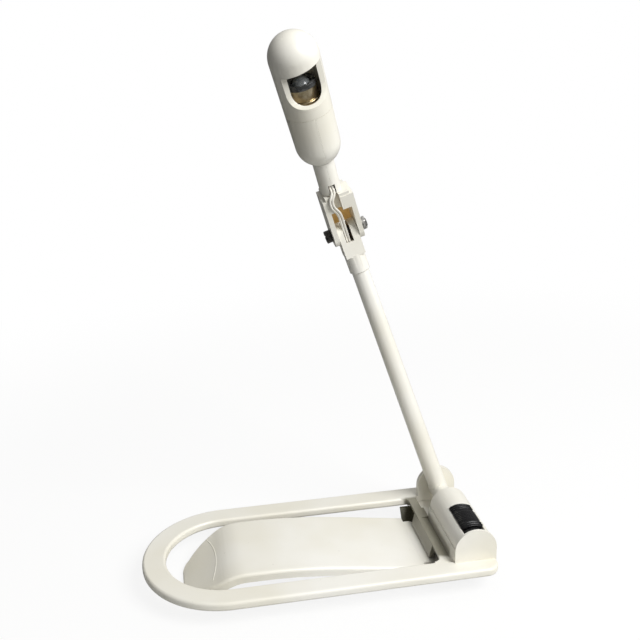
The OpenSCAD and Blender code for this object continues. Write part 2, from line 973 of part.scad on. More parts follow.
// collar and fork at the top of the arm
module lower_knuckle() {
    seat_r = collar_seat_r + arm_fit;
    chamfer = 0.4;
    lap = 0.5;
    way_front = 3;
    way_from = pocket_gap - collar_top;
    color(ivory)
        at_knuckle()
            difference() {
                union() {
                    upright(-collar_foot, chamfer - collar_foot, collar_r - chamfer, collar_r);
                    upright(chamfer - collar_foot, lap - collar_top, collar_r, collar_r);
                    translate([prong_left, -prong_r, -collar_top])
                        cube([prong_right - prong_left, 2 * prong_r, collar_top]);
                    cross_bar(prong_left, prong_right, prong_r);
                }
                upright(-collar_foot - over, seat_gap - tube_end, seat_r, seat_r);
                upright(-collar_foot, lap + line_gap - collar_top, arm_bore, arm_bore);
                translate([slot_left, -prong_r - over, slot_floor])
                    cube([wire_slot, prong_r + over + slot_back, far_cut]);
                translate([slot_left, -way_front, way_from])
                    cube([wire_slot, way_front + arm_bore, slot_floor - way_from + pocket_gap]);
                cross_bar(prong_left - over, prong_right + over, screw_r + pivot_gap);
            }
}

// stations [y, z, heading] of a wire that starts along Z; a step is [straight, bend angle]
// a positive bend turns towards -Y
function wire_way(steps, y = 0, z = 0, heading = 0, from = 0) =
    from == len(steps) ? [] :
    let (y1 = y - steps[from][0] * sin(heading),
        z1 = z + steps[from][0] * cos(heading),
        bend = steps[from][1],
        turn = bend < 0 ? -wire_bend : wire_bend,
        first = bend == 0 ? bend_steps : steps[from][0] < 0.001 ? 1 : 0,
        arc = [for (i = [first : bend_steps])
            let (now = heading + bend * i / bend_steps)
                [y1 - turn * (cos(heading) - cos(now)), z1 + turn * (sin(now) - sin(heading)), now]],
        last = arc[len(arc) - 1])
    concat(arc, wire_way(steps, last[0], last[1], last[2], from + 1));

// a wire swept along its stations as a closed tube
module wire_run(steps) {
    way = concat([[0, 0, 0]], wire_way(steps));
    last = len(way) - 1;
    points = [for (at = way, i = [0 : wire_sides - 1])
        let (angle = i * 360 / wire_sides,
            side = wire_r * sin(angle))
            [wire_r * cos(angle), at[0] + side * cos(at[2]), at[1] + side * sin(at[2])]];
    sides = [for (k = [0 : last - 1], i = [0 : wire_sides - 1])
        let (low = k * wire_sides,
            high = low + wire_sides,
            next = (i + 1) % wire_sides)
            [low + i, high + i, high + next, low + next]];
    ends = [[for (i = [0 : wire_sides - 1]) i],
        [for (i = [wire_sides - 1 : -1 : 0]) last * wire_sides + i]];
    polyhedron(points, concat(sides, ends));
}

// repeats a wire on both sides of its route
module wire_pair() {
    for (side = [-0.5, 0.5])
        translate([wire_set + side * wire_pitch, 0, 0])
            children();
}

// bend angle of an S that shifts a wire sideways
function shift_angle(shift) = acos(1 - shift / (2 * wire_bend));

// two wires from the bush up the arm and out to the front of the fork
module arm_lead() {
    turn_in = 90;
    rise = shift_angle(wire_front);
    straight = arm_len - wire_foot - wire_tail - 2 * wire_bend * sin(rise) - wire_bend;
    color(white)
        along_arm()
            wire_pair()
                translate([0, -wire_bend, 0])
                    rotate([-90, 0, 0])
                        wire_run([[0, turn_in], [straight, rise], [0, -rise], [wire_tail, 0]]);
}

// two wires that cross the knuckle in front of the screw
module knuckle_lead() {
    in_front = wire_front * cos(head_tilt) - wire_turn * sin(head_tilt);
    dive = shift_angle(in_front);
    slant = 0.5;
    corner = wire_bend * tan(head_tilt / 2);
    corner_at = wire_front * sin(head_tilt) + wire_turn * cos(head_tilt);
    straight = lead_top - wire_tail - 2 * wire_bend * sin(dive) - corner_at - corner;
    color(white)
        at_knuckle()
            translate([0, -wire_front, -wire_foot])
                rotate([0, -slant, 0])
                    wire_pair()
                        wire_run([[wire_turn + wire_foot - corner, head_tilt], [straight, -dive], [0, dive],
                            [wire_tail, 0]]);
}

// black screw through the knuckle
module knuckle_screw() {
    slot_w = 0.7;
    slot_deep = 0.6;
    lap = 0.5;
    proud = 0.4;
    head_at = cheek_left - cheek_t - seat_gap;
    color(black)
        at_knuckle()
            difference() {
                union() {
                    cross_bar(head_at - screw_head_t, head_at, screw_head_r);
                    cross_bar(head_at - lap, cheek_right + cheek_t + nut_t + proud, screw_r);
                }
                translate([head_at - screw_head_t - over, -screw_head_r, -slot_w / 2])
                    cube([over + slot_deep, 2 * screw_head_r, slot_w]);
            }
}

// hexagon nut on the screw's end
module knuckle_nut() {
    nut_at = cheek_right + cheek_t + seat_gap;
    color(steel)
        at_knuckle()
            difference() {
                translate([nut_at, 0, 0])
                    rotate([0, 90, 0])
                        cylinder(h = nut_t, r = nut_flats_r, $fn = 6);
                cross_bar(nut_at - over, nut_at + nut_t + over, screw_r + fixed_gap);
            }
}

// clevis below the head: two round cheeks, a bridge, a wire channel and a plug for the neck
module upper_knuckle() {
    left = cheek_left - cheek_t;
    right = cheek_right + cheek_t;
    channel_half = 1.3;
    channel_deep = 2.4;
    channel_set = 0.15;
    shoulder = 1.2;
    lap = 0.5;
    plug_r = neck_bore - seat_gap;
    color(ivory)
        along_neck()
            difference() {
                union() {
                    for (from = [left, cheek_right]) {
                        cross_bar(from, from + cheek_t, cheek_r);
                        translate([from, -cheek_r, 0])
                            cube([cheek_t, 2 * cheek_r, bridge_from + lap]);
                    }
                    translate([left, -cheek_r, bridge_from])
                        cube([right - left, 2 * cheek_r, block_top - shoulder - bridge_from]);
                    translate([left + shoulder, -block_half, bridge_from])
                        cube([right - left - 2 * shoulder, 2 * block_half, block_top - bridge_from]);
                    translate([left, cheek_r - web_t, web_from])
                        cube([right - left, web_t, bridge_from + lap - web_from]);
                    lean_head()
                        upright(block_top - over, block_top + neck_plug_len, plug_r, plug_r);
                }
                cross_bar(left - over, right + over, screw_r + pivot_gap);
                translate([neck_set + channel_set - channel_half, -cheek_r - over, bridge_from - over])
                    cube([2 * channel_half, channel_deep + over, far_cut]);
                translate([neck_set - neck_bore, -neck_bore - over, block_top])
                    cube([2 * neck_bore, neck_bore + over + lap, far_cut]);
            }
}

// solid outline of the neck and lower head, up to the ring seam
module head_outline() {
    upright(neck_foot, low_centre, neck_r, neck_r);
    translate([0, 0, low_centre])
        sphere(low_r);
    upright(low_centre, ring_seam, low_r, seam_r);
    upright(ring_seam - over, spigot_top, spigot_r, spigot_r);
}

// space inside the neck and lower head
module head_hollow() {
    step_down = 2.5;
    upright(0, low_centre, neck_bore, neck_bore);
    translate([0, 0, low_centre])
        sphere(shell_bore);
    upright(low_centre, ring_seam - step_down, shell_bore, shell_bore);
    upright(ring_seam - step_down - over, spigot_top + over, spigot_bore, spigot_bore);
}

// one of the two halves of the lower head, split along the front seam
module head_shell(side) {
    mouth_half = 1.2;
    color(ivory)
        along_head()
            difference() {
                head_outline();
                head_hollow();
                translate([-mouth_half, -neck_r - over, 0])
                    cube([2 * mouth_half, neck_r + over, block_top + mouth_len]);
                mirror([side, 0, 0])
                    translate([-far_cut + seam_gap / 2, -far_cut / 2, 0])
                        cube(far_cut);
            }
}

module head_shell_left() {
    head_shell(1);
}

module head_shell_right() {
    head_shell(0);
}

// side view of the window's cut: flat along the sides, scooped at the bottom, square under the visor
module window_profile() {
    scoop_z = window_low + scoop_r;
    translate([window_depth, scoop_z])
        square([dome_r, dome_centre - scoop_z]);
    translate([window_depth + scoop_r, scoop_z])
        circle(scoop_r);
}

// domed hood that turns on the lower head and shades the bulb
module hood() {
    color(ivory)
        along_head()
            difference() {
                union() {
                    upright(ring_seam + seam_gap, dome_centre, seam_r, dome_r);
                    translate([0, 0, dome_centre])
                        sphere(dome_r);
                }
                upright(ring_seam - over, dome_centre, hood_bore, hood_bore);
                translate([0, 0, dome_centre])
                    sphere(hood_bore);
                rotate([0, 0, hood_turn])
                    intersection() {
                        rotate([90, 0, -90])
                            linear_extrude(2 * dome_r, center = true)
                                window_profile();
                        translate([0, 0, window_high])
                            rotate([0, -visor_tilt, 0])
                                translate([-far_cut / 2, -far_cut / 2, -far_cut])
                                    cube(far_cut);
                    }
            }
}

// plastic holder behind the bulb
module lamp_holder() {
    holder_r = shell_bore - line_gap;
    cup_deep = 0.8;
    wire_way_r = wire_pitch + 0.2;
    color(black)
        along_head()
            difference() {
                upright(holder_from, sleeve_from + cup_deep, holder_r, holder_r);
                upright(sleeve_from, sleeve_to, sleeve_r + fixed_gap, sleeve_r + fixed_gap);
                upright(contact_at, sleeve_to, contact_r + line_gap, contact_r + line_gap);
                upright(holder_from - over, sleeve_to, wire_way_r, wire_way_r);
            }
}

// brass sleeve the bulb screws into
module socket_sleeve() {
    color(brass)
        along_head()
            difference() {
                upright(sleeve_from, sleeve_to, sleeve_r, sleeve_r);
                upright(sleeve_from - over, sleeve_to + over, sleeve_bore, sleeve_bore);
            }
}

// domed contact under the bulb
module centre_contact() {
    plate_t = 0.6;
    dome_foot_r = 1.2;
    dome_tip_r = 0.8;
    color(brass)
        along_head() {
            upright(contact_at, contact_at + plate_t, contact_r, contact_r);
            upright(contact_at, bulb_base_from - tip_len - seat_gap, dome_foot_r, dome_tip_r);
        }
}

// brass screw base: rolled thread in the sleeve, plain collar above it, and the tip contact
module bulb_base() {
    core_r = bulb_base_r - 0.35;
    cup_r = core_r - 0.8;
    cup_floor = 1;
    first_turn = 1.2;
    roll_r = 0.5;
    roll_at = bulb_base_r - roll_r;
    tip_r = 1.6;
    tip_root_r = 2.6;
    turns = floor((sleeve_to - bulb_base_from - first_turn - roll_r) / thread_pitch);
    color(brass)
        along_head()
            difference() {
                union() {
                    upright(bulb_base_from, bulb_ring_at, core_r, core_r);
                    upright(sleeve_to, bulb_ring_at - fixed_gap, bulb_base_r, bulb_base_r);
                    for (turn = [0 : turns])
                        translate([0, 0, bulb_base_from + first_turn + turn * thread_pitch])
                            rotate_extrude()
                                translate([roll_at, 0])
                                    circle(roll_r, $fn = 24);
                    upright(bulb_base_from - tip_len, bulb_base_from + line_gap, tip_r, tip_root_r);
                }
                upright(bulb_base_from + cup_floor, bulb_ring_at + over, cup_r, cup_r);
            }
}

// dark ring between the screw base and the glass, with a sunk mouth
module bulb_ring() {
    mouth_r = glass_r + 0.9;
    mouth_deep = 0.6;
    bore_r = glass_r + 0.03;
    color(grey)
        along_head()
            difference() {
                upright(bulb_ring_at + fixed_gap, glass_from, ring_r, ring_r);
                upright(bulb_ring_at - over, glass_from + over, bore_r, bore_r);
                upright(glass_from - mouth_deep, glass_from + fixed_gap, glass_r, mouth_r);
            }
}

// clear glass: a tube in the base that ends in a thick lens
module bulb_glass() {
    inner_r = glass_r - glass_wall;
    color(clear)
        along_head()
            difference() {
                union() {
                    upright(glass_foot, lens_centre, glass_r - fixed_gap, glass_r);
                    translate([0, 0, lens_centre])
                        sphere(glass_r);
                }
                upright(glass_foot - glass_r, glass_foot, glass_r + over, glass_r + over);
                upright(glass_foot + glass_wall, lens_centre - lens_flat, inner_r, inner_r);
            }
}

// two support wires, the glass bead that spaces them and the filament
module bulb_filament() {
    post_r = 0.2;
    post_x = 1.2;
    bead_r = 0.4;
    bead_at = 2;
    coil_r = 0.25;
    reach = post_x + 0.3;
    floor_at = glass_foot + glass_wall;
    top_at = lens_centre - lens_flat - coil_r - seat_gap;
    color(steel)
        along_head() {
            for (x = [-post_x, post_x])
                translate([x, 0, 0])
                    upright(floor_at, top_at, post_r, post_r);
            translate([0, 0, top_at])
                cross_bar(-reach, reach, coil_r);
            translate([0, 0, floor_at + bead_at])
                cross_bar(-reach, reach, bead_r);
        }
}

// two wires from the neck to the holder
module head_lead() {
    color(white)
        along_head()
            translate([-wire_set, 0, 0])
                wire_pair()
                    upright(lead_top + seat_gap, contact_at - seat_gap, wire_r, wire_r);
}

base_frame();
lower_housing();
housing_screw_near();
housing_screw_far();
housing_cover();
axle_bush();
axle_pin();
friction_washer();
switch_liner();
switch_body();
switch_terminals();
switch_slider();
power_jack();
jack_lead();
base_lead();
clip_leaf();
leaf_pin();
arm_hub();
arm_tube();
lower_knuckle();
arm_lead();
knuckle_lead();
knuckle_screw();
knuckle_nut();
upper_knuckle();
head_shell_left();
head_shell_right();
hood();
lamp_holder();
socket_sleeve();
centre_contact();
bulb_base();
bulb_ring();
bulb_glass();
bulb_filament();
head_lead();
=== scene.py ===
"""Looks of a clip-on book light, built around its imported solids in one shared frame, in metres."""

import json
import math

import bmesh
import bpy
from bpy.props import FloatProperty, FloatVectorProperty, IntProperty, PointerProperty, StringProperty
from mathutils import Matrix, Vector
from mathutils.bvhtree import BVHTree


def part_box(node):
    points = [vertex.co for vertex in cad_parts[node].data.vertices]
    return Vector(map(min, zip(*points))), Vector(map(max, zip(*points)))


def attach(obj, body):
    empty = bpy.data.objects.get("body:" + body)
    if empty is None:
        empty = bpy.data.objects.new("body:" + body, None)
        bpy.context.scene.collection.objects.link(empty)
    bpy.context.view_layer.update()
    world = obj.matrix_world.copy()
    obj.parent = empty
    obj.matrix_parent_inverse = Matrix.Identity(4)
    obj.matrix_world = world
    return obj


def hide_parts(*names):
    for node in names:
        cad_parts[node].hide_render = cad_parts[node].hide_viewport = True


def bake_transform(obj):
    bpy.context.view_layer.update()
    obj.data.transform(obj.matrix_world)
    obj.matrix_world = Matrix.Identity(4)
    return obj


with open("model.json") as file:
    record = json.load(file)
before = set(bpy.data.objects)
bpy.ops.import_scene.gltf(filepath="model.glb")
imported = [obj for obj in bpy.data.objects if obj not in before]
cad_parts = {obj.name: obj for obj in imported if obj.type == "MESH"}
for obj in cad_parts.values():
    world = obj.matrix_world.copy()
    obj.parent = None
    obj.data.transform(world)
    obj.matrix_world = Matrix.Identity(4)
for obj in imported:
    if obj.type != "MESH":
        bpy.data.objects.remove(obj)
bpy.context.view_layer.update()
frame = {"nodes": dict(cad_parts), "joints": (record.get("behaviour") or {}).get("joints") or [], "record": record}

bl_info = {
    "name": "Clip-on book light",
    "version": (1, 0, 0),
    "blender": (4, 5, 0),
    "location": "View3D > Sidebar > Book light",
    "description": "Dresses the solids of a folding clip-on book light and sets up its studio",
    "category": "Object",
}

MM = 0.001
JOINTS = {joint["name"]: joint for joint in frame["joints"]}
BODY_OF = {node: body for body, nodes in frame["record"]["behaviour"]["bodies"].items() for node in nodes}
SLOT_OF = {row["node"]: row["material_slot"] for row in frame["record"]["subparts"]}

# sockets of a Mix node: its share, its two values, its two colours and the colour that comes out
SHARE, VALUE_A, VALUE_B, COLOUR_A, COLOUR_B, COLOUR_OUT = 0, 2, 3, 6, 7, 2

# where shade is painted on the hinge deck: axis, edge of the painted shade, and where it is full, in millimetres
PAINTED_SHADE_EDGES = (("X", -7.7, -8.2), ("X", -14.6, -12.8), ("Y", -20.6, -18.4), ("Y", 24, 22))

# the hinge axis, the knuckle screw and the head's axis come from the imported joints
HINGE = Vector(JOINTS["arm_fold"]["pos_m"])
KNUCKLE = Vector(JOINTS["head_tilt"]["pos_m"])
SCREW_LINE = Vector(JOINTS["head_tilt"]["axis"]).normalized()
HEAD_LINE = Vector(JOINTS["hood_turn"]["axis"]).normalized()
HINGE_LINE = Vector((0, 1, 0))
ARM_LINE = SCREW_LINE.cross(HINGE_LINE).normalized()


def axes(origin, x, y, z):
    """Matrix of a frame from its origin and its three unit axes."""
    return Matrix.Translation(origin) @ Matrix((x, y, z)).transposed().to_4x4()


HEAD = Vector(JOINTS["hood_turn"]["pos_m"])
HEAD_SIDE = (SCREW_LINE - HEAD_LINE * SCREW_LINE.dot(HEAD_LINE)).normalized()
ARM_FRAME = axes(KNUCKLE, SCREW_LINE, HINGE_LINE, ARM_LINE)
TILT = math.radians(19)
NECK_FRAME = ARM_FRAME @ Matrix.Rotation(TILT, 4, "X")


class FinishSettings(bpy.types.PropertyGroup):
    """Colours and gloss of the materials."""

    ivory: StringProperty(name="Ivory", description="Moulded plastic that is still pale", default="F2F0E8")
    aged: StringProperty(name="Aged ivory", description="The same plastic, yellowed", default="E8E4D5")
    # painted shade: the brown that deep corners are tinted, also the colour of the dark specks
    corner_shade_and_speck: StringProperty(name="Crevice", description="Plastic deep in a corner", default="9A7434")
    # painted shade: the colour that the hinge deck is darkened to
    painted_deck_shade: StringProperty(name="Painted deck shade", description="Painted shade on the hinge deck", default="827E6C")
    black: StringProperty(name="Black", description="Black plastic", default="040405")
    brass: StringProperty(name="Brass", description="Rolled brass of the bulb", default="D8CBAE")
    tarnish: StringProperty(name="Tarnish", description="Dull patches on brass", default="94876C")
    steel: StringProperty(name="Steel", description="Plated steel", default="EDEBE6")
    gloss: FloatProperty(name="Plastic roughness", description="Roughness of the ivory plastic",
                         default=0.3, min=0, max=1, subtype="FACTOR")


class ShapeSettings(bpy.types.PropertyGroup):
    """Sizes of the softened edges and of the pieces that are built here."""

    edge: FloatProperty(name="Edge", description="Round of a moulded edge", default=0.35 * MM, unit="LENGTH")
    fine_edge: FloatProperty(name="Fine edge", description="Round of a small part's edge",
                             default=0.15 * MM, unit="LENGTH")
    seam_edge: FloatProperty(name="Seam edge", description="Round beside a seam",
                             default=0.05 * MM, unit="LENGTH")
    rim_edge: FloatProperty(name="Rim edge", description="Round of the hood's window",
                            default=0.5 * MM, unit="LENGTH")
    leaf_edge: FloatProperty(name="Leaf edge", description="Round of the leaf's rim",
                             default=1.2 * MM, unit="LENGTH")
    edge_steps: IntProperty(name="Edge steps", description="Faces across a rounded edge",
                            default=3, min=1, max=6)
    wire_r: FloatProperty(name="Wire", description="Radius of one insulated wire",
                          default=0.45 * MM, unit="LENGTH")
    wire_pitch: FloatProperty(name="Wire pitch", description="Distance between the wires",
                              default=0.95 * MM, unit="LENGTH")


class StageSettings(bpy.types.PropertyGroup):
    """Camera and studio."""

    eye: FloatVectorProperty(name="Eye", description="Place of the camera", size=3, unit="LENGTH",
                             default=(-0.099833, -0.287166, 0.198458))
    azimuth: FloatProperty(name="Azimuth", description="Direction of view",
                           default=math.radians(-9.741), subtype="ANGLE")
    elevation: FloatProperty(name="Elevation", description="Height of view",
                             default=math.radians(18.875), subtype="ANGLE")
    roll: FloatProperty(name="Roll", description="Roll of the camera",
                        default=math.radians(-1.515), subtype="ANGLE")
    lens: FloatProperty(name="Lens", description="Focal length on a 36 mm sensor",
                        default=49.892, subtype="DISTANCE_CAMERA")
    key: FloatProperty(name="Key", description="Power of the key lamp", default=5.75, unit="POWER")
    key_turn: FloatProperty(name="Key turn", description="Direction of the key lamp from above",
                            default=math.radians(-53), subtype="ANGLE")
    key_rise: FloatProperty(name="Key rise", description="Height of the key lamp",
                            default=math.radians(45), subtype="ANGLE")
    back: FloatProperty(name="Back", description="Power of the lamp behind", default=0.9, unit="POWER")
    fill: FloatProperty(name="Fill", description="Strength of the room's light", default=0.25, min=0)
    floor_r: FloatProperty(name="Floor", description="Radius of the pale floor", default=0.42, unit="LENGTH")


def linear(code):
    """Linear colour of an sRGB hex value."""
    parts = [int(code[i:i + 2], 16) / 255 for i in (0, 2, 4)]
    return tuple(c / 12.92 if c <= 0.04045 else ((c + 0.055) / 1.055) ** 2.4 for c in parts) + (1.0,)


def per_mm(size):
    """Texture scale at which one feature is that many millimetres."""
    return 1 / (size * MM)


def add(tree, kind, inputs=None, **settings):
    """Adds one node with its settings; an input is a value, or another node's output to link."""
    node = tree.nodes.new(kind)
    for key, value in settings.items():
        setattr(node, key, value)
    for socket, value in (inputs or {}).items():
        if isinstance(value, bpy.types.NodeSocket):
            tree.links.new(value, node.inputs[socket])
        else:
            node.inputs[socket].default_value = value
    return node


def material(name):
    """An empty material with its output node."""
    made = bpy.data.materials.new(name)
    made.use_nodes = True
    made.node_tree.nodes.clear()
    return made, made.node_tree, add(made.node_tree, "ShaderNodeOutputMaterial")


def ivory_abs(look, name="aged_ivory_abs", painted_deck_shade=0.0):
    """Injection-moulded ABS: soft gloss, a faint orange peel, yellowed in patches, with painted shade in deep
    corners and, when asked, on the hinge deck.
    """
    made, tree, out = material(name)
    place = add(tree, "ShaderNodeTexCoord").outputs["Object"]
    # age comes in broad patches
    drift = add(tree, "ShaderNodeTexNoise", {"Vector": place, "Scale": per_mm(40), "Detail": 3.0})
    patch = add(tree, "ShaderNodeMapRange", {
        "Value": drift.outputs["Fac"], "From Min": 0.35, "From Max": 0.7,
    })
    tint = add(tree, "ShaderNodeMix", {
        SHARE: patch.outputs["Result"], COLOUR_A: linear(look.ivory), COLOUR_B: linear(look.aged),
    }, data_type="RGBA")
    # painted shade: deep corners, found by ambient occlusion, are tinted brown
    hollow = add(tree, "ShaderNodeAmbientOcclusion", {"Distance": 4 * MM}, samples=12)
    depth = add(tree, "ShaderNodeMapRange", {
        "Value": hollow.outputs["AO"], "From Min": 0.36, "From Max": 0.06,
    })
    tint = add(tree, "ShaderNodeMix", {
        SHARE: depth.outputs["Result"], COLOUR_A: tint.outputs[COLOUR_OUT], COLOUR_B: linear(look.corner_shade_and_speck),
    }, data_type="RGBA")
    # a few dark specks lie in the plastic
    dots = add(tree, "ShaderNodeTexVoronoi", {"Vector": place, "Scale": per_mm(13)})
    speck = add(tree, "ShaderNodeMapRange", {
        "Value": dots.outputs["Distance"], "From Min": 0.022, "From Max": 0.01, "To Max": 0.7,
    })
    tint = add(tree, "ShaderNodeMix", {
        SHARE: speck.outputs["Result"], COLOUR_A: tint.outputs[COLOUR_OUT], COLOUR_B: linear(look.corner_shade_and_speck),
    }, data_type="RGBA")
    # painted shade on the hinge deck's strip and front wall, where shade falls beside the barrel
    if painted_deck_shade:
        spot = add(tree, "ShaderNodeSeparateXYZ", {0: place})
        shade_mask = painted_deck_shade
        for axis, start, full in PAINTED_SHADE_EDGES:
            edge = add(tree, "ShaderNodeMapRange", {
                "Value": spot.outputs[axis], "From Min": start * MM, "From Max": full * MM,
            }, interpolation_type="SMOOTHSTEP")
            shade_mask = add(tree, "ShaderNodeMath", {
                0: edge.outputs[0], 1: shade_mask,
            }, operation="MULTIPLY").outputs[0]
        tint = add(tree, "ShaderNodeMix", {
            SHARE: shade_mask, COLOUR_A: tint.outputs[COLOUR_OUT], COLOUR_B: linear(look.painted_deck_shade),
        }, data_type="RGBA")
    # the orange peel also varies the gloss
    peel = add(tree, "ShaderNodeTexNoise", {"Vector": place, "Scale": per_mm(1.6), "Detail": 2.0})
    gloss = add(tree, "ShaderNodeMapRange", {
        "Value": peel.outputs["Fac"], "To Min": look.gloss - 0.06, "To Max": look.gloss + 0.08,
    })
    bump = add(tree, "ShaderNodeBump", {
        "Strength": 0.06, "Distance": 0.05 * MM, "Height": peel.outputs["Fac"],
    })
    skin = add(tree, "ShaderNodeBsdfPrincipled", {
        "Base Color": tint.outputs[COLOUR_OUT], "Roughness": gloss.outputs["Result"],
        "IOR": 1.53, "Normal": bump.outputs["Normal"],
    })
    tree.links.new(skin.outputs["BSDF"], out.inputs["Surface"])
    return made


def black_plastic(look, name="black_abs", tone=None):
    """Moulded dark ABS: satin to glossy, with a little grey dust in the grain."""
    made, tree, out = material(name)
    place = add(tree, "ShaderNodeTexCoord").outputs["Object"]
    grain = add(tree, "ShaderNodeTexNoise", {"Vector": place, "Scale": per_mm(0.7), "Detail": 4.0})
    dust = add(tree, "ShaderNodeMapRange", {
        "Value": grain.outputs["Fac"], "From Min": 0.62, "From Max": 0.8, "To Max": 0.12,
    })
    shade = add(tree, "ShaderNodeMix", {
        SHARE: dust.outputs["Result"], COLOUR_A: linear(tone or look.black), COLOUR_B: linear("34332F"),
    }, data_type="RGBA")
    gloss = add(tree, "ShaderNodeMapRange", {"Value": grain.outputs["Fac"], "To Min": 0.2, "To Max": 0.36})
    bump = add(tree, "ShaderNodeBump", {
        "Strength": 0.12, "Distance": 0.05 * MM, "Height": grain.outputs["Fac"],
    })
    skin = add(tree, "ShaderNodeBsdfPrincipled", {
        "Base Color": shade.outputs[COLOUR_OUT], "Roughness": gloss.outputs["Result"],
        "Specular IOR Level": 0.25, "Normal": bump.outputs["Normal"],
    })
    tree.links.new(skin.outputs["BSDF"], out.inputs["Surface"])
    return made


def worn_metal(name, bright, dull, rough, patch_mm, metallic=1.0):
    """A hard bright surface that has gone dull in patches, with fine unevenness from handling."""
    made, tree, out = material(name)
    place = add(tree, "ShaderNodeTexCoord").outputs["Object"]
    stain = add(tree, "ShaderNodeTexNoise", {
        "Vector": place, "Scale": per_mm(patch_mm), "Detail": 5.0, "Roughness": 0.6,
    })
    dulled = add(tree, "ShaderNodeMapRange", {
        "Value": stain.outputs["Fac"], "From Min": 0.42, "From Max": 0.68,
    })
    shade = add(tree, "ShaderNodeMix", {
        SHARE: dulled.outputs["Result"], COLOUR_A: linear(bright), COLOUR_B: linear(dull),
    }, data_type="RGBA")
    gloss = add(tree, "ShaderNodeMapRange", {
        "Value": stain.outputs["Fac"], "To Min": rough - 0.1, "To Max": rough + 0.15,
    })
    bump = add(tree, "ShaderNodeBump", {
        "Strength": 0.1, "Distance": 0.03 * MM, "Height": stain.outputs["Fac"],
    })
    skin = add(tree, "ShaderNodeBsdfPrincipled", {
        "Base Color": shade.outputs[COLOUR_OUT], "Roughness": gloss.outputs["Result"],
        "Metallic": metallic, "Normal": bump.outputs["Normal"],
    })
    tree.links.new(skin.outputs["BSDF"], out.inputs["Surface"])
    return made


def thin_abs():
    """The ivory plastic where it is a thin web: a painted golden glow, colour and emission standing in for the
    light that seeps through it from behind.
    """
    made, tree, out = material("backlit_thin_abs")
    place = add(tree, "ShaderNodeTexCoord").outputs["Object"]
    cloud = add(tree, "ShaderNodeTexNoise", {"Vector": place, "Scale": per_mm(2.5), "Detail": 2.0})
    body = add(tree, "ShaderNodeMix", {
        SHARE: cloud.outputs["Fac"], COLOUR_A: linear("C9A466"), COLOUR_B: linear("A88549"),
    }, data_type="RGBA")
    # painted glow: the emission stands in for light coming through the web
    skin = add(tree, "ShaderNodeBsdfPrincipled", {
        "Base Color": body.outputs[COLOUR_OUT], "Roughness": 0.4, "IOR": 1.53,
        "Emission Color": body.outputs[COLOUR_OUT], "Emission Strength": 0.35,
    })
    tree.links.new(skin.outputs["BSDF"], out.inputs["Surface"])
    return made


def white_pvc():
    """Extruded PVC insulation: satin, a little duller than the mouldings, with painted shade where the wires
    touch.
    """
    made, tree, out = material("white_pvc")
    place = add(tree, "ShaderNodeTexCoord").outputs["Object"]
    haze = add(tree, "ShaderNodeTexNoise", {"Vector": place, "Scale": per_mm(3), "Detail": 3.0})
    body = add(tree, "ShaderNodeMix", {
        SHARE: haze.outputs["Fac"], COLOUR_A: linear("F1EFE8"), COLOUR_B: linear("DDD8CA"),
    }, data_type="RGBA")
    # painted shade: where ambient occlusion finds the wires close together, they turn dark brown
    hollow = add(tree, "ShaderNodeAmbientOcclusion", {"Distance": 1.2 * MM}, samples=12)
    depth = add(tree, "ShaderNodeMapRange", {
        "Value": hollow.outputs["AO"], "From Min": 0.6, "From Max": 0.15,
    })
    tint = add(tree, "ShaderNodeMix", {
        SHARE: depth.outputs["Result"], COLOUR_A: body.outputs[COLOUR_OUT], COLOUR_B: linear("4A4234"),
    }, data_type="RGBA")
    bump = add(tree, "ShaderNodeBump", {
        "Strength": 0.1, "Distance": 0.03 * MM, "Height": haze.outputs["Fac"],
    })
    skin = add(tree, "ShaderNodeBsdfPrincipled", {
        "Base Color": tint.outputs[COLOUR_OUT], "Roughness": 0.45, "IOR": 1.53,
        "Normal": bump.outputs["Normal"],
    })
    tree.links.new(skin.outputs["BSDF"], out.inputs["Surface"])
    return made


def lens_glass():
    """Pressed clear glass with a slight grey cast and a wavy skin."""
    made, tree, out = material("lens_glass")
    place = add(tree, "ShaderNodeTexCoord").outputs["Object"]
    wave = add(tree, "ShaderNodeTexNoise", {"Vector": place, "Scale": per_mm(1.5), "Detail": 1.0})
    bump = add(tree, "ShaderNodeBump", {
        "Strength": 0.15, "Distance": 0.05 * MM, "Height": wave.outputs["Fac"],
    })
    skin = add(tree, "ShaderNodeBsdfPrincipled", {
        "Base Color": linear("C3C8CA"), "Roughness": 0.12, "IOR": 1.5,
        "Transmission Weight": 0.7, "Normal": bump.outputs["Normal"],
    })
    tree.links.new(skin.outputs["BSDF"], out.inputs["Surface"])
    return made


def materials():
    """Every material, by the record's slot or by the place that needs a look of its own."""
    look = bpy.context.scene.booklight_finish
    return {
        "ivory_plastic": ivory_abs(look),
        "shaded_deck_plastic": ivory_abs(look, "shade_painted_ivory_abs", 0.9),
        "thin_web": thin_abs(),
        "black_plastic": black_plastic(look),
        # the lower housing's dark plastic is given a lighter olive tone
        "olive_dark_plastic": black_plastic(look, "olive_dark_abs", "4A4838"),
        "wire_pvc": white_pvc(),
        "brass": worn_metal("rolled_brass", look.brass, look.tarnish, 0.3, 3),
        "steel": worn_metal("plated_steel", look.steel, "3E3C38", 0.3, 1.1),
        "black_steel": worn_metal("blackened_steel", "121212", "5C5953", 0.4, 1.3, 0.5),
        "grey_cement": worn_metal("glazed_insulator", "2B2C2C", "5A5B5A", 0.25, 2.0, 0.0),
        "glass": lens_glass(),
    }


MATERIALS = {}


def shown(obj, node, look=None):
    """Finishes a new piece that stands for a CAD node: its material and its slot."""
    name = SLOT_OF[node]
    if not MATERIALS:
        MATERIALS.update(materials())
    obj.data.materials.clear()
    obj.data.materials.append(MATERIALS[look or name])
    if obj.name not in bpy.context.scene.collection.objects:
        bpy.context.scene.collection.objects.link(obj)
    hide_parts(node)
    return obj


def ridden(obj, node, look=None):
    """The same, for a rigid piece, which then rides on the node's body."""
    shown(obj, node, look)
    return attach(obj, BODY_OF[node])


